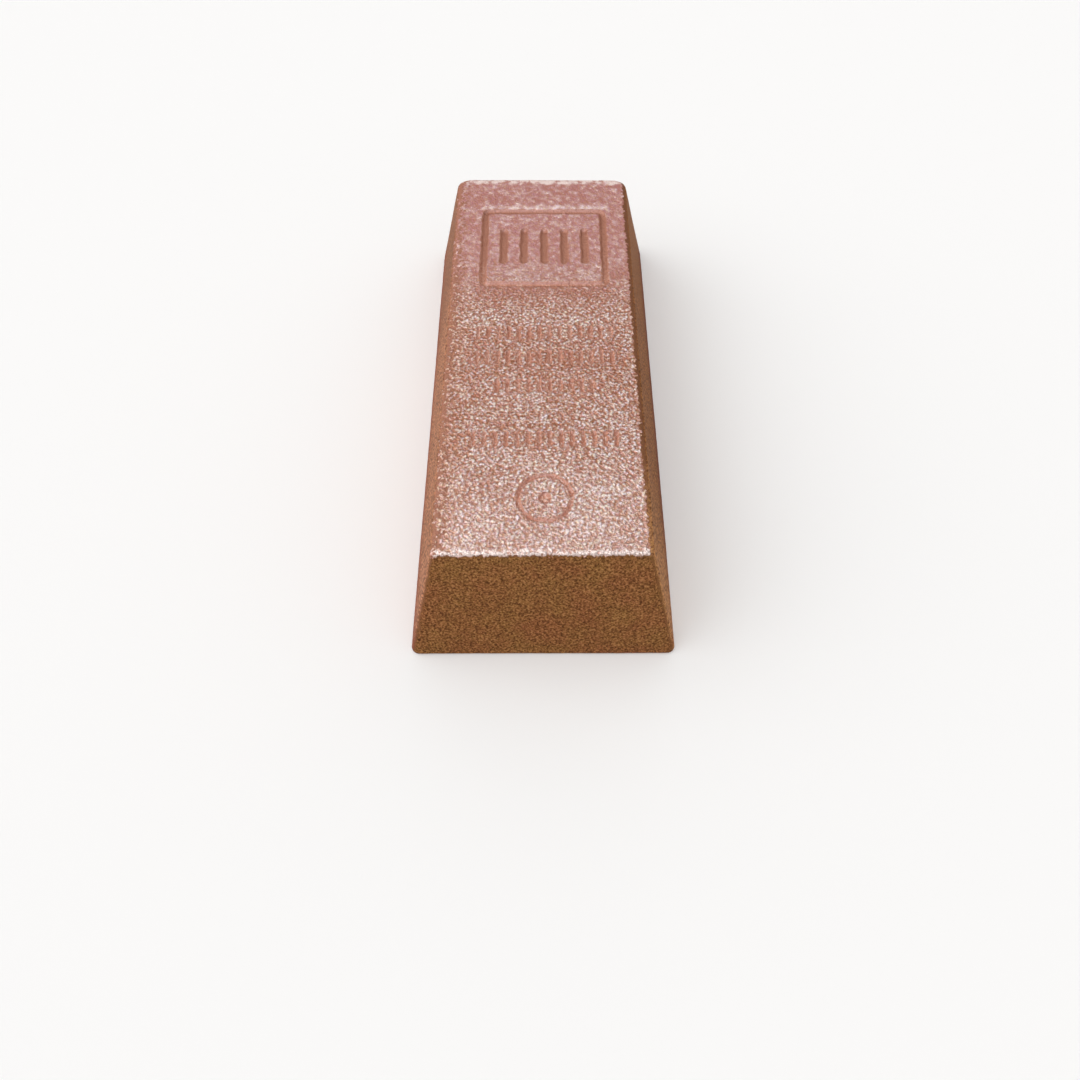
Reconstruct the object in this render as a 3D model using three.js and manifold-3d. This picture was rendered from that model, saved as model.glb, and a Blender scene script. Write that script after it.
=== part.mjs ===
// A one-pound cast copper ingot. It lies on its wide face, with its long side along Y, and the
// narrow moulded face on top carries shallow recesses: a framed panel, rows of short flutes and a ring.
import * as THREE from 'three';
import { mergeVertices } from 'three/addons/utils/BufferGeometryUtils.js';
import Module from 'manifold-3d';

const wasm = await Module();
wasm.setup();

// Driving dimensions, in millimetres and degrees.
const baseWidth = 38.25;
const baseLength = 85.25;
const topWidth = 28.45;
const topLength = 72.95;
const height = 19.25;
// The upright edges, seen from above, where they meet the moulded face and the wide face.
const backCornerRadius = { top: 1.5, base: 3.6 };
const frontCornerRadius = { top: 1.0, base: 1.2 };
const baseEdgeRadius = 0.4;
const topEdgeRadius = 1.0;

const recessDepth = 0.5;
const recessDraft = 20; // slope of the recess walls, which lets the casting leave the mould
const marksShift = 0.36; // how far the marks lie off the middle line

const frameSideMargin = 4.14; // from the sharp edge of the moulded face to the outside of the frame
const frameEndMargin = 7.87;
const frameLength = 17.64;
const frameLine = 1.15;
const frameCornerRadius = 0.8;

const reedsFromEnd = 16.69; // from the far sharp edge to the middle of the row
const reedCount = 5;
const reedPitch = 3.24;
const reedWidth = 1.3;
const reedLength = 8.1;

const fluteWidth = 0.62;
const flutePitch = 1.523;
const fluteRows = [
  { fromEnd: 35.28, length: 2.7, count: 14 },
  { fromEnd: 40.16, length: 2.7, count: 14 },
  { fromEnd: 45.49, length: 2.4, count: 10 },
  { fromEnd: 54.81, length: 2.7, count: 14 },
];

const ringFromEnd = 64.33;
const ringDiameter = 7.72;
const ringLine = 0.62;
const dimpleDiameter = 1.8;

// Facets.
const cornerSteps = 6; // along each rounded upright edge
const edgeSteps = 4; // across each rounded long edge
const slotEndSteps = 3; // in each quarter of a rounded slot end
const ringSteps = 32;

const radians = THREE.MathUtils.degToRad;
const farEnd = topLength / 2; // the sharp far edge of the moulded face
const wallRun = recessDepth * Math.tan(radians(recessDraft)); // a wall's lean, from floor to mouth
const cutterRise = 1; // a cutter stands this far out of the face that it cuts

// How far out one side of the ingot reaches at height z, with its two long edges rounded off.
function reachAt(z, baseReach, topReach) {
  const draft = Math.atan2(baseReach - topReach, height);
  const topTangent = height - topEdgeRadius * (1 - Math.sin(draft));
  const baseTangent = baseEdgeRadius * (1 + Math.sin(draft));
  if (z > topTangent) {
    const centre = topReach - topEdgeRadius * Math.tan(Math.PI / 4 - draft / 2);
    return centre + Math.sqrt(Math.max(0, topEdgeRadius ** 2 - (z - height + topEdgeRadius) ** 2));
  }
  if (z < baseTangent) {
    const centre = baseReach - baseEdgeRadius * Math.tan(Math.PI / 4 + draft / 2);
    return centre + Math.sqrt(Math.max(0, baseEdgeRadius ** 2 - (z - baseEdgeRadius) ** 2));
  }
  return THREE.MathUtils.lerp(baseReach, topReach, z / height);
}

// One closed outline of the ingot at height z: a rectangle with rounded corners.
function outlineAt(z) {
  const reachX = reachAt(z, baseWidth / 2, topWidth / 2);
  const reachY = reachAt(z, baseLength / 2, topLength / 2);
  const corners = [[1, 1], [-1, 1], [-1, -1], [1, -1]];
  return corners.flatMap(([sideX, sideY], quarter) => {
    const rounding = sideY > 0 ? backCornerRadius : frontCornerRadius;
    const radius = THREE.MathUtils.lerp(rounding.base, rounding.top, z / height);
    const centreX = sideX * (reachX - radius);
    const centreY = sideY * (reachY - radius);
    return Array.from({ length: cornerSteps + 1 }, (_, step) => {
      const angle = (quarter + step / cornerSteps) * Math.PI / 2;
      return [centreX + radius * Math.cos(angle), centreY + radius * Math.sin(angle), z];
    });
  });
}

// The heights of the outlines: close together round the two long edges, none between them.
function outlineHeights() {
  const arc = Array.from({ length: edgeSteps + 1 }, (_, step) => 1 - Math.cos(step / edgeSteps * Math.PI / 2));
  const baseDraft = Math.atan2((baseWidth - topWidth) / 2, height);
  const low = arc.map((share) => share * baseEdgeRadius * (1 + Math.sin(baseDraft)));
  const high = arc.map((share) => height - share * topEdgeRadius).reverse();
  return [...low, ...high];
}

function ingotBlank() {
  const outlines = outlineHeights().map(outlineAt);
  const around = outlines[0].length;
  const positions = outlines.flat(2);
  const faces = [];
  for (let ring = 0; ring < outlines.length - 1; ring++) {
    for (let step = 0; step < around; step++) {
      const next = (step + 1) % around;
      const a = ring * around + step;
      const b = ring * around + next;
      faces.push(a, b, b + around, a, b + around, a + around);
    }
  }
  const last = (outlines.length - 1) * around;
  for (let step = 1; step < around - 1; step++) {
    faces.push(0, step + 1, step);
    faces.push(last, last + step, last + step + 1);
  }
  const geometry = new THREE.BufferGeometry();
  geometry.setAttribute('position', new THREE.Float32BufferAttribute(positions, 3));
  geometry.setIndex(faces);
  return geometry;
}

function roundedRectangle(path, width, length, radius) {
  const x = width / 2;
  const y = length / 2;
  path.moveTo(x, y - radius);
  path.absarc(x - radius, y - radius, radius, 0, Math.PI / 2);
  path.absarc(-x + radius, y - radius, radius, Math.PI / 2, Math.PI);
  path.absarc(-x + radius, -y + radius, radius, Math.PI, 1.5 * Math.PI);
  path.absarc(x - radius, -y + radius, radius, 1.5 * Math.PI, 2 * Math.PI);
  return path;
}

// A cutter for one recess: the shape is its floor, and its walls lean outwards up to the moulded face.
function recess(shape, x, y, curveSegments) {
  const geometry = new THREE.ExtrudeGeometry(shape, {
    depth: cutterRise,
    bevelEnabled: true,
    bevelThickness: recessDepth,
    bevelSize: wallRun,
    bevelSegments: 1,
    curveSegments,
  });
  return geometry.translate(x, y, height);
}

function slot(x, y, width, length) {
  const floorWidth = width - 2 * wallRun;
  const floorLength = length - 2 * wallRun;
  const shape = roundedRectangle(new THREE.Shape(), floorWidth, floorLength, floorWidth / 2);
  return recess(shape, x, y, slotEndSteps);
}

// Upright slots side by side, centred on the marks' line.
function slotRow(y, count, pitch, width, length) {
  return Array.from({ length: count }, (_, index) => {
    const x = marksShift + (index - (count - 1) / 2) * pitch;
    return slot(x, y, width, length);
  });
}

function framedPanel() {
  const width = topWidth - 2 * frameSideMargin;
  const y = farEnd - frameEndMargin - frameLength / 2;
  const innerRadius = Math.max(frameCornerRadius - frameLine, 0.2);
  const shape = roundedRectangle(
    new THREE.Shape(), width - 2 * wallRun, frameLength - 2 * wallRun, frameCornerRadius);
  const inside = 2 * (frameLine - wallRun);
  shape.holes.push(roundedRectangle(new THREE.Path(), width - inside, frameLength - inside, innerRadius));
  const reeds = slotRow(farEnd - reedsFromEnd, reedCount, reedPitch, reedWidth, reedLength);
  return [recess(shape, marksShift, y, slotEndSteps), ...reeds];
}

function fluteBands() {
  return fluteRows.flatMap((row) =>
    slotRow(farEnd - row.fromEnd, row.count, flutePitch, fluteWidth, row.length));
}

function ringMark() {
  const y = farEnd - ringFromEnd;
  const ring = new THREE.Shape().absarc(0, 0, ringDiameter / 2 - wallRun, 0, 2 * Math.PI);
  ring.holes.push(new THREE.Path().absarc(0, 0, ringDiameter / 2 - ringLine + wallRun, 0, 2 * Math.PI));
  const dimple = new THREE.Shape().absarc(0, 0, dimpleDiameter / 2 - wallRun, 0, 2 * Math.PI);
  return [recess(ring, marksShift, y, ringSteps), recess(dimple, marksShift, y, ringSteps / 2)];
}

function solidFrom(geometry) {
  const bare = geometry.clone();
  bare.deleteAttribute('normal');
  bare.deleteAttribute('uv');
  const merged = mergeVertices(bare, 1e-4);
  const mesh = new wasm.Mesh({
    numProp: 3,
    vertProperties: new Float32Array(merged.attributes.position.array),
    triVerts: new Uint32Array(merged.index.array),
  });
  return new wasm.Manifold(mesh);
}

function geometryFrom(solid) {
  const mesh = solid.getMesh();
  const geometry = new THREE.BufferGeometry();
  geometry.setAttribute('position', new THREE.BufferAttribute(mesh.vertProperties, 3));
  geometry.setIndex(new THREE.BufferAttribute(mesh.triVerts, 1));
  geometry.computeVertexNormals();
  return geometry;
}

const recesses = [...framedPanel(), ...fluteBands(), ...ringMark()];
const casting = recesses.reduce((solid, cutter) => solid.subtract(solidFrom(cutter)), solidFrom(ingotBlank()));

const castCopper = new THREE.MeshStandardMaterial({
  name: 'cast_copper',
  color: 0xb87c62,
  metalness: 1,
  roughness: 0.42,
});

const ingot = new THREE.Mesh(geometryFrom(casting), castCopper);
ingot.name = 'ingot';

const copperIngot = new THREE.Group();
copperIngot.add(ingot);

export default copperIngot;
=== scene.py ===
import math

import bpy
import numpy as np
from mathutils import Matrix, Vector, geometry, noise


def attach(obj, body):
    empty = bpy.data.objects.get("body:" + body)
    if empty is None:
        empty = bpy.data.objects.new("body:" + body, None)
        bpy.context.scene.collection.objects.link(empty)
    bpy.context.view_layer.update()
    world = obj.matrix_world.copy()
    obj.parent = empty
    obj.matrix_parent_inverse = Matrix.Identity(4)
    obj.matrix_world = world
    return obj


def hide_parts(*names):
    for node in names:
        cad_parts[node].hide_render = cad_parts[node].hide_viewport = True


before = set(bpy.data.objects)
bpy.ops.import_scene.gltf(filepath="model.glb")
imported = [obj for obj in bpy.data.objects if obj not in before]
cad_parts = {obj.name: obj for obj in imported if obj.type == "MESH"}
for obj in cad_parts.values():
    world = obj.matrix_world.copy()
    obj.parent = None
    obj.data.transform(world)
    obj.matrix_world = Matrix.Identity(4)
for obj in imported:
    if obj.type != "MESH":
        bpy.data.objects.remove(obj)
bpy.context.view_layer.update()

mm = 0.001

# sizes in this script are millimetres until a mesh is made

ingotForm = {
    "topWidth": 28.45,  # the narrow moulded face, measured to its sharp edges
    "topLength": 72.95,
    "baseWidth": 38.25,  # the wide face, the same way
    "baseLength": 85.25,
    "height": 19.25,
    "cornerRadii": {"back": (2.1, 3.5), "front": (1.0, 1.2)},  # at the moulded face and at the wide face
    "topEdgeRadius": 1.0,
    "baseEdgeRadius": 0.4,
    "cell": 0.1904,  # mesh spacing on the moulded face: an eighth of the flutes' pitch
    "sideRow": 0.62,  # mesh spacing down the sides
    "edgeRow": 0.16,  # and round the long edges
    "baseCell": 1.6,  # inside the wide face
}

marks = {
    "depth": 0.45,
    "wall": 0.34,  # how far along the face a recess wall takes to come down
    "wander": {"size": 1.0, "amount": 0.13, "seed": 2.2},  # its edge strays, as sand crumbles
    "floorEdge": {"outside": 0.036, "length": 0.12},  # where a recess takes on its own colour
    "shift": 0.36,  # off the middle line
    "frame": {"sideMargin": 4.03, "endMargin": 7.97, "length": 17.84, "line": 1.15, "cornerRadius": 0.8},
    "reeds": {"fromEnd": 16.69, "count": 5, "pitch": 3.24, "width": 1.3, "length": 8.1},
    "flutes": {"pitch": 1.523, "width": 0.62},
    "fluteRows": [
        {"fromEnd": 35.28, "count": 14, "length": 2.7},
        {"fromEnd": 40.16, "count": 14, "length": 2.7},
        {"fromEnd": 45.49, "count": 10, "length": 2.4},
        {"fromEnd": 54.81, "count": 14, "length": 2.7},
    ],
    "ring": {"fromEnd": 64.33, "diameter": 7.72, "line": 0.62, "dimple": 1.8},
}

castSkin = {
    # patterns: the size of a lump, how far it moves the skin, and where the noise is read
    "nodules": {"size": 0.8, "amount": 0.05, "seed": 11.3},  # round grains on the moulded face
    "noduleReach": 0.75,  # how far a nodule reaches, as a share of its size
    "lumps": {"size": 1.7, "amount": 0.07, "seed": 5.1},
    "sideLumps": {"size": 1.3, "amount": 0.04, "seed": 8.9},  # the sides are smoother
    "swell": {"size": 11.0, "amount": 0.08, "seed": 3.7},  # slow unevenness of the whole casting
    "farRoll": {"length": 1.5, "drop": 0.12},  # the far edge is rolled off
    "farSkew": {"forward": 0.12, "turn": -0.016},  # the far end isn't quite square
    # strips of painted highlight along the far edge and the front edge, wider here and narrower there
    "farRim": {"length": 1.3, "softness": 0.5, "size": 1.3, "amount": 1.0, "seed": 4.4},
    "lip": {"length": 0.75, "softness": 0.2, "size": 0.9, "amount": 0.7, "seed": 7.7},
    # how far inside each edge of the moulded face its bright skin starts, and over what length
    "leftFade": {"start": 0.8, "length": 1.3, "startAtLip": 0.15},
    "rightFade": {"start": 0.6, "length": 0.2},
    "frontFade": {"start": 0.07, "length": 0.13},
    "borderDepth": 3,  # how far from a border, in fade lengths, a point still counts as near it
    # fades over the upward share of the skin's normal, which is 1 where it lies flat and 0 on a wall
    "brightSlope": {"start": 0.42, "length": 0.04},
    "upwardSlope": {"start": 0.45, "length": 0.4},  # from a side's colours to those at the top
    "grainSlope": {"start": 0.5, "length": 0.2},  # for nodules and lumps
    "lipSlope": {"start": 0.3, "length": 0.3},  # for the painted highlight at the front
    "farSlope": {"start": 0, "length": 0.7},  # for the painted highlight and the roll at the far edge
    "lowReach": 7.5,  # how far up the long sides their redder, darker foot reaches: painted shade and reflection
    "calm": {"start": 4, "length": 16},  # behind the middle, where the grains start to run together
    "near": {"start": 16, "length": 24},  # in front of the middle, where the skin gets paler
    "bandSoftness": 2,  # at the two ends of a band
    "lightAndShadeBands": [  # painted highlight and shade in bands across the face: its middle, reach and amount
        {"fromEnd": 7.6, "reach": 0.7, "amount": 1.7, "halfWidth": 10.6},
        {"fromEnd": 23.6, "reach": 1.3, "amount": 0.4, "halfWidth": 9.0},
        {"fromEnd": 26.8, "reach": 1.8, "amount": -0.45, "halfWidth": 11.0},
        {"fromEnd": 32.5, "reach": 2.5, "amount": 0.3, "halfWidth": 13.0},
        {"fromEnd": 42.0, "reach": 6.0, "amount": -0.25, "halfWidth": 12.0},
        {"fromEnd": 74.0, "reach": 14.0, "amount": 0.8, "halfWidth": 20.0},
    ],
}


def reachAt(z, baseReach, topReach):
    # how far out one side stands at height z, with both long edges rounded off
    height = ingotForm["height"]
    topRadius = ingotForm["topEdgeRadius"]
    baseRadius = ingotForm["baseEdgeRadius"]
    draft = math.atan2(baseReach - topReach, height)
    if z > height - topRadius * (1 - math.sin(draft)):
        centre = topReach - topRadius * math.tan(math.pi / 4 - draft / 2)
        return centre + math.sqrt(max(0, topRadius ** 2 - (z - height + topRadius) ** 2))
    if z < baseRadius * (1 + math.sin(draft)):
        centre = baseReach - baseRadius * math.tan(math.pi / 4 + draft / 2)
        return centre + math.sqrt(max(0, baseRadius ** 2 - (z - baseRadius) ** 2))
    return baseReach + (topReach - baseReach) * z / height


def rowHeights():
    # from just under the moulded face down to the wide face, close together round the two edges
    height = ingotForm["height"]
    topRadius = ingotForm["topEdgeRadius"]
    baseRadius = ingotForm["baseEdgeRadius"]
    draft = math.atan2((ingotForm["baseWidth"] - ingotForm["topWidth"]) / 2, height)
    topTurn = math.pi / 2 - draft
    baseTurn = math.pi / 2 + draft
    topArc = np.linspace(0, topTurn, int(topTurn * topRadius / ingotForm["edgeRow"]) + 1)
    baseArc = np.linspace(-draft, math.pi / 2, int(baseTurn * baseRadius / ingotForm["edgeRow"]) + 1)
    top = height - topRadius * (1 - np.cos(topArc[1:]))
    base = baseRadius * (1 - np.sin(baseArc))
    sides = np.linspace(top[-1], base[0], round((top[-1] - base[0]) / ingotForm["sideRow"]) + 1)
    return np.concatenate([top, sides[1:-1], base])


def gridLines(reach, shift):
    # whole cells counted from the marks' middle line, closed by the edge on each side
    cell = ingotForm["cell"]
    leastGap = 0.4  # between the last line and the edge, in cells
    first = math.ceil((-reach - shift) / cell + leastGap)
    last = math.floor((reach - shift) / cell - leastGap)
    return np.concatenate([[-reach], np.arange(first, last + 1) * cell + shift, [reach]])


def roundCorners(x, y, reachX, reachY, radii):
    # bends the square corners of a rectangle full of points into quarter circles
    radius = np.where(y > 0, radii[0], radii[1])
    overX = np.abs(x) - (reachX - radius)
    overY = np.abs(y) - (reachY - radius)
    inCorner = (overX > 0) & (overY > 0)
    squeeze = np.where(inCorner, np.maximum(overX, overY) / np.maximum(np.hypot(overX, overY), 1e-9), 1)
    roundedX = np.where(inCorner, np.sign(x) * (reachX - radius + overX * squeeze), x)
    roundedY = np.where(inCorner, np.sign(y) * (reachY - radius + overY * squeeze), y)
    return roundedX, roundedY


def outlineAt(z):
    # half the width, half the length and the corner radii of the casting at height z
    form = ingotForm
    reachX = reachAt(z, form["baseWidth"] / 2, form["topWidth"] / 2)
    reachY = reachAt(z, form["baseLength"] / 2, form["topLength"] / 2)
    radii = [base + (top - base) * z / form["height"] for top, base in form["cornerRadii"].values()]
    return reachX, reachY, radii


def mouldedFace():
    # its points, their numbers as a grid, and the edge's numbers with their places as shares of the reach
    height = ingotForm["height"]
    reachX, reachY, radii = outlineAt(height)
    gridX, gridY = np.meshgrid(gridLines(reachX, marks["shift"]), gridLines(reachY, 0))
    x, y = roundCorners(gridX.ravel(), gridY.ravel(), reachX, reachY, radii)
    index = np.arange(len(x)).reshape(gridX.shape)
    around = np.concatenate([index[0, :-1], index[:-1, -1], index[-1, :0:-1], index[:0:-1, 0]])
    edgeX = gridX.ravel()[around] / reachX
    edgeY = gridY.ravel()[around] / reachY
    return np.column_stack([x, y, np.full(len(x), height)]), index, around, edgeX, edgeY


def wideFace(ringX, ringY, ring):
    # fills the lowest ring, whose points are numbered in ring, with a coarse mesh
    reachX, reachY, _ = outlineAt(0)
    cell = ingotForm["baseCell"]
    floorX = np.arange(-reachX + cell, reachX - cell / 2, cell)
    floorY = np.arange(-reachY + cell, reachY - cell / 2, cell)
    inside = [Vector((x, y)) for y in floorY for x in floorX]
    rim = [Vector((x, y)) for x, y in zip(ringX, ringY)]
    rimEdges = [(i, (i + 1) % len(rim)) for i in range(len(rim))]
    flat, _, triangles, origins, _, _ = geometry.delaunay_2d_cdt(rim + inside, rimEdges, [], 1, 1e-6)
    points, numbers = [], []
    for place, origin in zip(flat, origins):
        if origin[0] < len(rim):
            numbers.append(int(ring[origin[0]]))
        else:
            numbers.append(int(ring[-1]) + 1 + len(points))
            points.append([place[0], place[1], 0])
    return points, [[numbers[i] for i in reversed(triangle)] for triangle in triangles]


def ingotShell():
    # points and faces of the plain casting: a fine grid on top, rings down the sides, a coarse floor
    top, index, upper, edgeX, edgeY = mouldedFace()
    points = [top]
    faces = [np.stack([index[:-1, :-1], index[:-1, 1:], index[1:, 1:], index[1:, :-1]], -1).reshape(-1, 4)]
    total = len(top)
    for z in rowHeights():
        reachX, reachY, radii = outlineAt(z)
        ringX, ringY = roundCorners(edgeX * reachX, edgeY * reachY, reachX, reachY, radii)
        points.append(np.column_stack([ringX, ringY, np.full(len(ringX), z)]))
        lower = np.arange(len(ringX)) + total
        faces.append(np.stack([upper, lower, np.roll(lower, -1), np.roll(upper, -1)], -1))
        upper = lower
        total += len(ringX)
    floorPoints, floorFaces = wideFace(ringX, ringY, upper)
    points.append(floorPoints)
    return np.concatenate(points), np.concatenate(faces).tolist() + floorFaces, index.shape


def slotDistance(x, y, centreX, centreY, width, length, radius):
    # distance from the outline of a rounded rectangle, negative inside it
    overX = np.abs(x - centreX) - (width / 2 - radius)
    overY = np.abs(y - centreY) - (length / 2 - radius)
    outside = np.hypot(np.maximum(overX, 0), np.maximum(overY, 0))
    return outside + np.minimum(np.maximum(overX, overY), 0) - radius


def markDistance(x, y):
    # distance from the nearest mark's outline, negative inside the recesses
    farEnd = ingotForm["topLength"] / 2
    shift = marks["shift"]
    frameMark, reeds, ring = marks["frame"], marks["reeds"], marks["ring"]

    frameWidth = ingotForm["topWidth"] - 2 * frameMark["sideMargin"]
    frameY = farEnd - frameMark["endMargin"] - frameMark["length"] / 2
    line = frameMark["line"]
    middle = slotDistance(x, y, shift, frameY, frameWidth - line, frameMark["length"] - line,
                          frameMark["cornerRadius"])
    distances = [np.abs(middle) - line / 2]

    rows = [reeds] + [{**marks["flutes"], **row} for row in marks["fluteRows"]]
    for row in rows:
        rowY = farEnd - row["fromEnd"]
        for number in range(row["count"]):
            slotX = shift + (number - (row["count"] - 1) / 2) * row["pitch"]
            distances.append(slotDistance(x, y, slotX, rowY, row["width"], row["length"], row["width"] / 2))

    fromRing = np.hypot(x - shift, y - farEnd + ring["fromEnd"])
    distances.append(np.abs(fromRing - ring["diameter"] / 2 + ring["line"] / 2) - ring["line"] / 2)
    distances.append(fromRing - ring["dimple"] / 2)
    return np.min(distances, axis=0)


def smoothStep(share):
    share = np.clip(share, 0, 1)
    return share * share * (3 - 2 * share)


def faded(values, fade):
    # 0 up to the start of the fade, 1 once past it
    return smoothStep((values - fade["start"]) / fade["length"])


def strayed(points, pattern):
    # strays to both sides of zero by up to the pattern's amount
    offset = Vector([pattern["seed"]] * 3)
    values = [noise.noise(Vector(point) / pattern["size"] + offset) for point in points]
    return np.array(values) * pattern["amount"]


def uneven(points, pattern):
    # the same, but only ever down, which keeps the skin inside the plain casting
    return (strayed(points, pattern) - pattern["amount"]) / 2


def nodular(points, pattern):
    # 0 on top of each rounded grain, and down by the pattern's amount in the creases between them
    offset = Vector([pattern["seed"]] * 3)
    distances = [noise.voronoi(Vector(point) / pattern["size"] + offset)[0][0] for point in points]
    return -pattern["amount"] * smoothStep(np.array(distances) / castSkin["noduleReach"])


def highlightStrip(points, fromEdge, strip):
    # 1 on the strip of painted highlight along an edge, 0 further in
    reach = strip["length"] + strayed(points, strip)
    return smoothStep((reach - fromEdge) / strip["softness"] + 0.5)


def brightSkin(points, upward, lip):
    # above 0 where the moulded face's bright skin shows, below 0 outside its border
    halfWidth, halfLength = ingotForm["topWidth"] / 2, ingotForm["topLength"] / 2
    left = castSkin["leftFade"]
    leftStart = left["start"] + (left["startAtLip"] - left["start"]) * lip
    fades = [(points[:, 0] + halfWidth - leftStart) / left["length"]]
    others = {
        "rightFade": halfWidth - points[:, 0],
        "frontFade": points[:, 1] + halfLength,
        "brightSlope": upward,
    }
    for name, inside in others.items():
        fades.append((inside - castSkin[name]["start"]) / castSkin[name]["length"])
    return np.clip(np.min(fades, axis=0), -castSkin["borderDepth"], castSkin["borderDepth"])


def paintedBands(points):
    # painted light and shade: how much brighter or darker each place is drawn than the rest of the moulded
    # face
    paintedLightAndShade = np.zeros(len(points))
    farEnd = ingotForm["topLength"] / 2
    for band in castSkin["lightAndShadeBands"]:
        away = (farEnd - points[:, 1] - band["fromEnd"]) / band["reach"]
        inside = band["halfWidth"] - np.abs(points[:, 0] - marks["shift"])
        across = smoothStep(inside / castSkin["bandSoftness"] + 0.5)
        paintedLightAndShade += band["amount"] * np.exp(-away ** 2) * across
    return paintedLightAndShade


def sinkMarks(top, gridShape):
    # for each point of the moulded face: the share of the marks' depth it's sunk by, how its wall leans
    # (1 away from the front, -1 towards it), and above 0 where it shows a recess's own colour
    inside = strayed(top, marks["wander"]) - markDistance(top[:, 0], top[:, 1])
    sunk = smoothStep(inside / marks["wall"])
    rows = sunk.reshape(gridShape)
    along, across = np.gradient(rows)
    wall = 4 * rows * (1 - rows) * along * np.abs(along) / (across ** 2 + along ** 2 + 1e-6)
    edge = marks["floorEdge"]
    deep = castSkin["borderDepth"]
    recess = np.clip((inside + edge["outside"]) / edge["length"], -deep, deep)
    return sunk, wall.ravel(), recess


def castRelief(points, upward, recess):
    # how far the skin lies under the plain casting
    onTop = upward > castSkin["grainSlope"]["start"]
    lift = uneven(points, castSkin["swell"])
    floors = smoothStep(recess[onTop] / 2 + 0.5)  # the marks' floors stay smooth
    grained = faded(upward[onTop], castSkin["grainSlope"]) * (1 - floors)
    grains = nodular(points[onTop], castSkin["nodules"]) + uneven(points[onTop], castSkin["lumps"])
    lift[onTop] += grains * grained
    lift[~onTop] += uneven(points[~onTop], castSkin["sideLumps"])
    lift[points[:, 2] < 0.001] = 0  # the wide face stays flat
    return lift


def settleFarEnd(shaped, points, upward):
    # rolls the far edge off and turns the far end a little
    halfLength = ingotForm["topLength"] / 2
    roll, skew = castSkin["farRoll"], castSkin["farSkew"]
    rolled = np.clip((points[:, 1] - halfLength) / roll["length"] + 1, 0, 1) ** 2
    shaped[:, 2] -= rolled * faded(upward, castSkin["farSlope"]) * roll["drop"]
    forward = skew["forward"] + skew["turn"] * points[:, 0]
    shaped[:, 1] += forward * smoothStep(points[:, 1] / halfLength) * points[:, 2] / ingotForm["height"]


def makeIngot():
    print("ingot: building the casting")
    points, faces, gridShape = ingotShell()
    mesh = bpy.data.meshes.new("ingot_casting")
    mesh.from_pydata((points * mm).tolist(), [], faces)
    mesh.update()
    normals = np.empty(len(points) * 3, np.float32)
    mesh.vertex_normals.foreach_get("vector", normals)
    normals = normals.reshape(-1, 3)
    upward = normals[:, 2]

    print("ingot: sinking the marks")
    top = points[:gridShape[0] * gridShape[1]]
    sunk, wall, recess = sinkMarks(top, gridShape)
    others = len(points) - len(top)
    sunk = np.append(sunk, np.zeros(others))
    wall = np.append(wall, np.zeros(others))
    recess = np.append(recess, np.full(others, -castSkin["borderDepth"]))

    print("ingot: roughening the cast skin")
    shaped = points + normals * castRelief(points, upward, recess)[:, None]
    shaped[:, 2] -= sunk * marks["depth"]
    settleFarEnd(shaped, points, upward)
    mesh.vertices.foreach_set("co", (shaped * mm).astype(np.float32).ravel())

    print("ingot: marking where each finish lies")
    halfLength = ingotForm["topLength"] / 2
    lip = highlightStrip(points, points[:, 1] + halfLength, castSkin["lip"])
    rim = highlightStrip(points, halfLength - points[:, 1], castSkin["farRim"])
    shares = {
        "moulded": brightSkin(points, upward, lip),
        "recess": recess,
        "wall": wall,
        "edgeHighlight": np.maximum(
            lip * faded(upward, castSkin["lipSlope"]),
            rim * faded(upward, castSkin["farSlope"])),
        "paintedLightAndShade": paintedBands(points),
        "ends": np.abs(normals[:, 1]),
        "upward": faded(upward, castSkin["upwardSlope"]),
        "low": smoothStep(1 - points[:, 2] / castSkin["lowReach"]),
        "calm": faded(points[:, 1], castSkin["calm"]),
        "near": faded(-points[:, 1], castSkin["near"]),
    }
    for name, values in shares.items():
        mesh.attributes.new(name, "FLOAT", "POINT").data.foreach_set("value", values.astype(np.float32))
    mesh.shade_smooth()
    mesh.update()
    ingot = bpy.data.objects.new("ingot_casting", mesh)
    bpy.context.scene.collection.objects.link(ingot)
    return ingot


def toLinear(hexColour):
    # an sRGB colour as the linear one that a socket takes
    channels = [int(hexColour[i:i + 2], 16) / 255 for i in (0, 2, 4)]
    return [c / 12.92 if c <= 0.04045 else ((c + 0.055) / 1.055) ** 2.4 for c in channels] + [1]


def addNode(tree, kind, inputs, output=0, **settings):
    # adds a node, sets it up, fills or links its inputs and gives back one of its outputs
    node = tree.nodes.new("ShaderNode" + kind)
    for name, value in settings.items():
        setattr(node, name, value)
    for name, value in inputs.items():
        if isinstance(value, bpy.types.NodeSocket):
            tree.links.new(value, node.inputs[name])
        else:
            node.inputs[name].default_value = value
    return node.outputs[output] if node.outputs else node


# settings that many nodes share; a MapRange takes 1 and 2 as the range read, 3 and 4 as the range given
colourMix = {"output": 2, "data_type": "RGBA"}
eased = {"interpolation_type": "SMOOTHSTEP"}
plus = {"operation": "ADD"}
times = {"operation": "MULTIPLY"}
timesPlus = {"operation": "MULTIPLY_ADD"}

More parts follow.
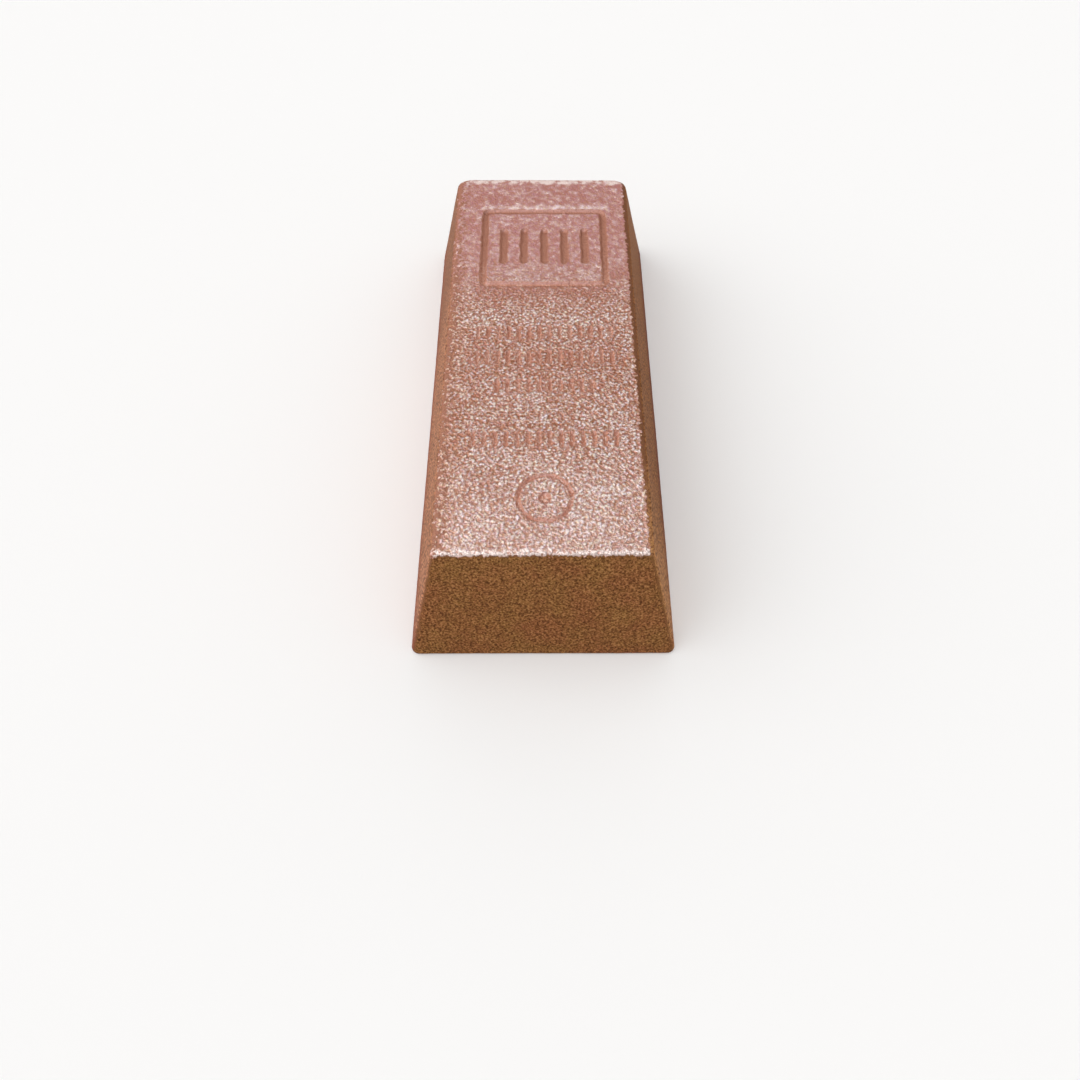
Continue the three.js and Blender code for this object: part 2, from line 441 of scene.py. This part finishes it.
copperFinish = {
    "colours": {
        "pit": "be836f",  # between grains, where the oxide stays
        "darkPit": "a06b53",
        "crest": "fff4f0",  # a grain's top, nearly white: a painted highlight
        "borderCrest": "fbe0d2",  # the same painted highlight where the bright skin runs out
        "farPit": "c78f87",  # painted shade: pinker and softer towards the framed end
        "farCrest": "ffe8e4",
        "haze": "dba99b",  # evens out the grains at the front
        "edge": "ffebe4",  # painted highlight along the front and far edges
        "edgeFoot": "d9917a",  # and painted shade where such an edge turns down
        "floor": "d09882",  # at the bottom of the marks
        # painted shade: the marks' floors darker towards the framed end
        "farFloor": "bd8975",
        "nearWall": "dcb0a6",  # painted light on the wall that leans away
        "farWall": "d3a59e",  # and on the one that faces the front
        "bead": "f4dcd0",  # painted highlight on grains left on a floor
        # painted light and shade on the long sides: the left lighter than the right, the rims darker on the
        # right, the feet darker and redder
        "left": "dd9e78",
        "leftDark": "6b432d",
        "leftFoot": "96543f",
        "leftRim": "ae7b66",  # a side's skin where it reaches round onto the moulded face
        "right": "b97f4e",
        "rightNear": "d59d69",
        "rightDark": "613c1c",
        "rightFoot": "7a3922",
        "rightRim": "83583f",
        "end": "ae7c4a",
        "endDark": "5a391f",
        "endRed": "ad7149",
        "endFleck": "c2925f",
        "specular": "763c2c",
    },
    # noise for the grains and for the sides' specks; stray is how far red, green and blue differ
    "grain": {"size": 0.42, "detail": 1, "roughness": 0.6, "stray": (0, 0, 0.75)},
    "speck": {"size": 0.3, "detail": 2, "roughness": 0.6, "stray": (0, 0.3, 0.35)},
    "cloudSizes": {  # slower noise
        "jag": 0.8,  # bites out of the borders
        "patch": 5.0,  # brighter and redder patches
        "far": 1.0,  # grains that have run together
    },
    "turned": (0.5, 0.4, 0.7),  # the patterns lie askew, so that none lines up with a face
    "drawnTilt": (0.7, 0, 0),  # specks on the long sides are drawn out on a slant
    "drawnScale": (1.1, 1.1, 4),
    "jagDepth": 1.4,  # how far the bright skin's border strays, in fade lengths
    "grainJag": 0.9,  # and how far it runs round single grains
    "recessJag": 0.5,  # the marks' borders stray by this share of jagDepth
    "cellSize": 0.47,  # one grain
    "cellDullest": 0.25,  # the dullest grain's brightness, where the brightest has 1
    "domeShare": 0.55,  # how much of a grain's brightness follows its dome
    "farGlint": 0.45,  # how bright single grains glint where the rest have run together
    "crestPower": 1.8,  # how few of the grains get the painted highlight
    "paintedBandShare": 0.3,  # how much the bands of painted light and shade add to a grain's brightness
    "patchShare": 0.12,  # and how much a patch adds or takes away
    "nearHaze": 0.25,  # how thick the haze is at the front, 0 to 1
    "beadShare": 0.75,  # how fully the beads cover a floor, and so on
    "footShare": 0.75,
    "fleckShare": 0.7,
    "farStill": 0.6,  # how far the sides' specks fade out towards the far end
    "farLights": {"left": 0.2, "right": 0.52},  # and the brightness they fade to, 0 to 1
    "grainRise": 0.17,
    "farRise": 0.068,
    "sideRise": 0.06,
    "endRise": 0.02,
    "sideMetal": 0.45,  # the brown skin is about half oxide, the bare one all metal
    "sideRoughness": 0.55,
    "bareRoughness": 0.36,
    "specular": 0.1,
}


def skinFields(tree):
    # what varies over the skin: the shares that the mesh carries, and noise to draw patterns with
    finish = copperFinish
    field = {}
    for name in ("moulded", "recess", "wall", "edgeHighlight", "paintedLightAndShade", "ends", "upward", "low", "calm", "near"):
        field[name] = addNode(tree, "Attribute", {}, "Fac", attribute_name=name)
    place = addNode(tree, "TexCoord", {}, "Object")
    field["sideways"] = addNode(tree, "SeparateXYZ", {0: place}, "X")
    drawnOut = addNode(tree, "Mapping", {
        "Vector": place, "Rotation": finish["drawnTilt"], "Scale": finish["drawnScale"],
    }, vector_type="TEXTURE")
    place = addNode(tree, "Mapping", {"Vector": place, "Rotation": finish["turned"]})
    for name, size in finish["cloudSizes"].items():
        field[name] = addNode(tree, "TexNoise", {"Vector": place, "Scale": 1 / (size * mm), "Detail": 2})
    field["cell"] = addNode(tree, "TexVoronoi", {
        "Vector": place, "Scale": 1 / (finish["cellSize"] * mm),
    }, "Color")

    field["jag"] = addNode(tree, "MapRange", {
        "Value": field["jag"], 1: 0.25, 2: 0.75, 3: -finish["jagDepth"], 4: finish["jagDepth"],
    })
    ends = addNode(tree, "Math", {0: field["jag"], 1: 0.1, 2: field["ends"]}, **timesPlus)
    field["ends"] = addNode(tree, "MapRange", {"Value": ends, 1: 0.5, 2: 0.8}, **eased)
    skinPlace = addNode(tree, "Mix", {0: field["ends"], 4: drawnOut, 5: place}, 1, data_type="VECTOR")
    for name, vector in (("grain", place), ("speck", skinPlace)):
        pattern = finish[name]
        scatter = addNode(tree, "TexNoise", {
            "Vector": vector, "Scale": 1 / (pattern["size"] * mm),
            "Detail": pattern["detail"], "Roughness": pattern["roughness"],
        }, "Color")
        field[name + "Noise"] = addNode(tree, "SeparateColor", {"Color": scatter}, "Red")
        field[name + "Tint"] = addNode(tree, "VectorMath", {
            0: scatter, 1: pattern["stray"], 2: [1 - amount / 2 for amount in pattern["stray"]],
        }, **timesPlus)
    return field


def addBorders(tree, field):
    # where the bright skin and the marks' own colours show, with borders that run round the grains
    finish = copperFinish
    bright = addNode(tree, "Math", {0: field["moulded"], 1: field["jag"]}, **plus)
    grainJag = addNode(tree, "MapRange", {
        "Value": field["grainNoise"], 1: 0.3, 2: 0.7, 3: -finish["grainJag"], 4: finish["grainJag"],
    })
    bright = addNode(tree, "Math", {0: bright, 1: grainJag}, **plus)
    bright = addNode(tree, "MapRange", {"Value": bright, 1: -0.7, 2: 0.7}, **eased)
    sunk = addNode(tree, "Math", {0: field["jag"], 1: finish["recessJag"], 2: field["recess"]}, **timesPlus)
    sunk = addNode(tree, "MapRange", {"Value": sunk, 1: -1, 2: 1}, **eased)
    field["bright"] = bright
    field["sunk"] = sunk
    field["bare"] = addNode(tree, "Math", {0: bright, 1: sunk}, operation="SUBTRACT", use_clamp=True)


def addGrains(tree, field):
    # every grain is a dome of its own brightness
    finish = copperFinish
    shine = addNode(tree, "SeparateColor", {"Color": field["cell"]}, "Red")
    shine = addNode(tree, "MapRange", {"Value": shine, 3: finish["cellDullest"]})
    dome = addNode(tree, "MapRange", {
        "Value": field["cell"].node.outputs["Distance"], 1: 0.1, 2: 0.65, 3: 1, 4: 0,
    })
    dome = addNode(tree, "Math", {0: dome, 1: shine}, **times)
    domed = addNode(tree, "MapRange", {"Value": field["grainNoise"], 1: 0.3, 2: 0.74})
    domed = addNode(tree, "Mix", {0: finish["domeShare"], 2: domed, 3: dome})
    domed = addNode(tree, "MapRange", {"Value": domed, 1: 0.08, 2: 0.6})

    # towards the framed end they run together, and single ones glint
    blob = addNode(tree, "MapRange", {"Value": field["far"], 1: 0.38, 2: 0.8})
    glint = addNode(tree, "MapRange", {
        "Value": field["grainNoise"], 1: 0.58, 2: 0.74, 4: finish["farGlint"],
    })
    blob = addNode(tree, "Math", {0: blob, 1: glint}, **plus)
    field["grains"] = addNode(tree, "Mix", {0: field["calm"], 2: domed, 3: blob})
    field["specks"] = addNode(tree, "MapRange", {"Value": field["speckNoise"], 1: 0.34, 2: 0.66})


def grainRelief(tree, field):
    # specks stand a little out of every side, and grains stand further out of the moulded face
    finish = copperFinish
    rise = addNode(tree, "Mix", {
        0: field["ends"], 2: finish["sideRise"] * mm, 3: finish["endRise"] * mm,
    })
    height = addNode(tree, "Math", {0: field["specks"], 1: rise}, **times)
    specks = addNode(tree, "Bump", {"Height": height, "Strength": 1, "Distance": 1})
    grainy = addNode(tree, "Math", {
        0: field["upward"], 1: 0.5, 2: field["bare"],
    }, use_clamp=True, **timesPlus)
    rise = addNode(tree, "MapRange", {
        "Value": field["calm"], 3: finish["grainRise"] * mm, 4: finish["farRise"] * mm,
    })
    rise = addNode(tree, "Math", {0: grainy, 1: rise}, **times)
    height = addNode(tree, "Math", {0: field["grains"], 1: rise}, **times)
    return addNode(tree, "Bump", {"Height": height, "Strength": 1, "Distance": 1, "Normal": specks})


def mouldedColour(tree, field, colours):
    # painted highlight: the higher a grain stands, the nearer to white it's drawn
    finish = copperFinish
    slow = addNode(tree, "MapRange", {
        "Value": field["patch"], 1: 0.25, 2: 0.75, 3: -finish["patchShare"], 4: finish["patchShare"],
    })
    slow = addNode(tree, "Math", {0: field["paintedLightAndShade"], 1: finish["paintedBandShare"], 2: slow}, **timesPlus)
    crest = addNode(tree, "Math", {0: field["grains"], 1: slow}, **plus)
    crest = addNode(tree, "MapRange", {"Value": crest, 1: -0.05, 2: 1.15})
    crest = addNode(tree, "Math", {0: crest, 1: finish["crestPower"]}, operation="POWER")
    within = addNode(tree, "MapRange", {"Value": field["bright"], 1: 0.3}, **eased)
    crest = addNode(tree, "Math", {0: crest, 1: within}, **times)
    darkest = field["grainNoise"].node.outputs["Green"]
    darkest = addNode(tree, "MapRange", {"Value": darkest, 1: 0.4, 2: 0.6})
    pit = addNode(tree, "Mix", {0: darkest, 6: colours["pit"], 7: colours["darkPit"]}, **colourMix)
    inside = addNode(tree, "MapRange", {"Value": field["moulded"], 2: 2.5})
    peak = addNode(tree, "Mix", {0: inside, 6: colours["borderCrest"], 7: colours["crest"]}, **colourMix)
    top = addNode(tree, "Mix", {0: crest, 6: pit, 7: peak}, **colourMix)
    # painted shade: towards the framed end the grains are drawn pinker and softer
    far = addNode(tree, "Mix", {0: crest, 6: colours["farPit"], 7: colours["farCrest"]}, **colourMix)
    top = addNode(tree, "Mix", {0: field["calm"], 6: top, 7: far}, **colourMix)
    hazy = addNode(tree, "MapRange", {"Value": field["near"], 4: finish["nearHaze"]})
    top = addNode(tree, "Mix", {0: hazy, 6: top, 7: colours["haze"]}, **colourMix)
    top = addNode(tree, "VectorMath", {0: top, 1: field["grainTint"]}, **times)

    # painted highlight in beads along the front and far edges, with painted shade where an edge turns down
    beaded = addNode(tree, "MapRange", {"Value": field["grains"], 2: 0.35, 3: 0.15})
    beaded = addNode(tree, "Math", {0: beaded, 1: field["edgeHighlight"]}, **times)
    edge = addNode(tree, "Mix", {
        0: field["upward"], 6: colours["edgeFoot"], 7: colours["edge"],
    }, **colourMix)
    return addNode(tree, "Mix", {0: beaded, 6: top, 7: edge}, **colourMix)


def markColour(tree, field, colours):
    # the marks' floors, with a few grains left on them, and their walls; the grains and walls carry painted
    # highlights
    bead = addNode(tree, "MapRange", {
        "Value": field["grainNoise"], 1: 0.5, 2: 0.7, 4: copperFinish["beadShare"],
    })
    bead = addNode(tree, "Mix", {0: field["calm"], 2: bead, 3: 0.0})
    towardFront = addNode(tree, "Math", {0: field["wall"], 1: -1}, **times)
    layers = {"farFloor": field["calm"], "bead": bead, "nearWall": field["wall"], "farWall": towardFront}
    mark = colours["floor"]
    for name, shown in layers.items():
        mark = addNode(tree, "Mix", {0: shown, 6: mark, 7: colours[name]}, **colourMix)
    return mark


def sideColour(tree, field, colours):
    # the long sides: specks that fade out towards the far end; painted light and shade makes the left
    # lighter than the right and the foot darker and redder
    finish = copperFinish
    still = addNode(tree, "MapRange", {"Value": field["calm"], 4: finish["farStill"]})
    foot = addNode(tree, "MapRange", {"Value": field["low"], 4: finish["footShare"]})
    sides = {}
    for name, farLight in finish["farLights"].items():
        lit = addNode(tree, "Mix", {0: still, 2: field["specks"], 3: farLight})
        layers = {name: lit, name + "Foot": foot, name + "Rim": field["upward"]}
        side = colours[name + "Dark"]
        for layer, shown in layers.items():
            side = addNode(tree, "Mix", {0: shown, 6: side, 7: colours[layer]}, **colourMix)
        sides[name] = side
    near = addNode(tree, "Math", {0: field["near"], 1: field["specks"]}, **times)
    right = addNode(tree, "Mix", {0: near, 6: sides["right"], 7: colours["rightNear"]}, **colourMix)
    onRight = addNode(tree, "MapRange", {"Value": field["sideways"], 1: -2 * mm, 2: 2 * mm})
    return addNode(tree, "Mix", {0: onRight, 6: sides["left"], 7: right}, **colourMix)


def endColour(tree, field, colours):
    # the two ends: redder in patches, and flecked
    reddish = addNode(tree, "MapRange", {"Value": field["patch"], 1: 0.35, 2: 0.65})
    fleck = addNode(tree, "MapRange", {
        "Value": field["speckNoise"], 1: 0.55, 2: 0.8, 4: copperFinish["fleckShare"],
    })
    end = addNode(tree, "Mix", {0: reddish, 6: colours["end"], 7: colours["endRed"]}, **colourMix)
    end = addNode(tree, "Mix", {0: field["specks"], 6: colours["endDark"], 7: end}, **colourMix)
    return addNode(tree, "Mix", {0: fleck, 6: end, 7: colours["endFleck"]}, **colourMix)


def sandCastCopper():
    # copper cast in sand: the moulded face grainy, with painted highlights on its grains and edges; the
    # sides and ends matt brown with oxide, darkened further by painted shade
    finish = copperFinish
    colours = {name: toLinear(value) for name, value in finish["colours"].items()}
    material = bpy.data.materials.new("sandCastCopper")
    material.use_nodes = True
    tree = material.node_tree
    tree.nodes.clear()
    field = skinFields(tree)
    addBorders(tree, field)
    addGrains(tree, field)

    side = sideColour(tree, field, colours)
    end = endColour(tree, field, colours)
    skin = addNode(tree, "Mix", {0: field["ends"], 6: side, 7: end}, **colourMix)
    skin = addNode(tree, "VectorMath", {0: skin, 1: field["speckTint"]}, **times)
    top = mouldedColour(tree, field, colours)
    colour = addNode(tree, "Mix", {0: field["bright"], 6: skin, 7: top}, **colourMix)
    mark = markColour(tree, field, colours)
    colour = addNode(tree, "Mix", {0: field["sunk"], 6: colour, 7: mark}, **colourMix)
    shader = addNode(tree, "BsdfPrincipled", {
        "Base Color": colour,
        "Metallic": addNode(tree, "MapRange", {"Value": field["bright"], 3: finish["sideMetal"]}),
        "Roughness": addNode(tree, "MapRange", {
            "Value": field["bare"], 3: finish["sideRoughness"], 4: finish["bareRoughness"],
        }),
        "Normal": grainRelief(tree, field),
        "Specular IOR Level": finish["specular"],
        "Specular Tint": colours["specular"],
    })
    addNode(tree, "OutputMaterial", {"Surface": shader})
    return material


ingot = makeIngot()
ingot.data.materials.append(sandCastCopper())
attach(ingot, "root")
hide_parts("ingot")

studio = {
    "floor": {"radius": 2500, "colour": "f8f7f6", "roughness": 0.9, "specular": 0.1},
    "lamps": {  # level, degrees across, lean forward and lean to the left
        "overhead_lamp": (0.45, 26, 14, 0),
        "overhead_diffuser": (0.18, 56, 24, 0),
        "left_softbox": (0.85, 60, 0, 52),
    },
    "skyLevels": {  # from the horizon behind the ingot, over the top, to the horizon in front of it
        0: 1.5, 16: 1.25, 32: 0.7, 45: 0.65, 60: 0.82, 75: 0.74,
        95: 0.58, 120: 0.6, 145: 0.6, 165: 0.4, 180: 0.2,
    },
    "leftGain": 0.12,  # how much brighter the left is than the middle
}


def mattEmulsion():
    # white emulsion rolled on board: matt, so it takes soft shadows and mirrors nothing
    paint = studio["floor"]
    material = bpy.data.materials.new("mattEmulsion")
    material.use_nodes = True
    shader = material.node_tree.nodes["Principled BSDF"]
    shader.inputs["Base Color"].default_value = toLinear(paint["colour"])
    shader.inputs["Roughness"].default_value = paint["roughness"]
    shader.inputs["Specular IOR Level"].default_value = paint["specular"]
    return material


print("studio: floor, light and camera")
bpy.ops.mesh.primitive_circle_add(vertices=96, radius=studio["floor"]["radius"] * mm, fill_type="NGON")
floor = bpy.context.object
floor.name = "studio_floor"
floor.data.materials.append(mattEmulsion())

for lampName, (level, across, forward, left) in studio["lamps"].items():
    lamp = bpy.data.lights.new(lampName, "SUN")
    lamp.energy = level
    lamp.angle = math.radians(across)
    placed = bpy.data.objects.new(lampName, lamp)
    placed.rotation_euler = (math.radians(forward), math.radians(-left), 0)
    bpy.context.scene.collection.objects.link(placed)

world = bpy.data.worlds.new("studio_world")
world.use_nodes = True
sky = world.node_tree
direction = addNode(sky, "TexCoord", {}, "Generated")
toward = addNode(sky, "SeparateXYZ", {0: direction}).node.outputs
overhead = addNode(sky, "Math", {0: toward["Z"], 1: toward["Y"]}, operation="ARCTAN2")
overhead = addNode(sky, "Math", {0: overhead, 1: math.pi}, operation="DIVIDE")
level = addNode(sky, "ValToRGB", {0: overhead})
stops = level.node.color_ramp.elements
brightest = max(studio["skyLevels"].values())
while len(stops) < len(studio["skyLevels"]):
    stops.new(0.5)
for stop, (degrees, skyLevel) in zip(stops, studio["skyLevels"].items()):
    stop.position = degrees / 180
    stop.color = [skyLevel / brightest] * 3 + [1]
level = addNode(sky, "Math", {0: level, 1: brightest}, **times)
level = addNode(sky, "Math", {0: toward["X"], 1: -studio["leftGain"], 2: level}, **timesPlus)
sky.links.new(level, sky.nodes["Background"].inputs["Strength"])
sky.nodes["Background"].inputs["Color"].default_value = toLinear("ffffff")
bpy.context.scene.world = world
bpy.context.scene.view_settings.view_transform = "Standard"

cameraPlace = {
    "position": (0.55, -82.1, 106.15),
    "downTilt": 61.157,
    "turn": 0.975,
    "roll": -1.087,
    "lens": 25.959,
    "sensorWidth": 36,
    "clipStart": 5,
}

lens = bpy.data.cameras.new("studio_camera")
lens.lens = cameraPlace["lens"]
lens.sensor_width = cameraPlace["sensorWidth"]
lens.clip_start = cameraPlace["clipStart"] * mm
camera = bpy.data.objects.new("studio_camera", lens)
camera.matrix_world = (
    Matrix.Translation(Vector(cameraPlace["position"]) * mm)
    @ Matrix.Rotation(math.radians(cameraPlace["turn"]), 4, "Z")
    @ Matrix.Rotation(math.radians(90 - cameraPlace["downTilt"]), 4, "X")
    @ Matrix.Rotation(math.radians(cameraPlace["roll"]), 4, "Z"))
bpy.context.scene.collection.objects.link(camera)
bpy.context.scene.camera = camera

print("triangles:", sum(len(face.vertices) - 2 for face in ingot.data.polygons))
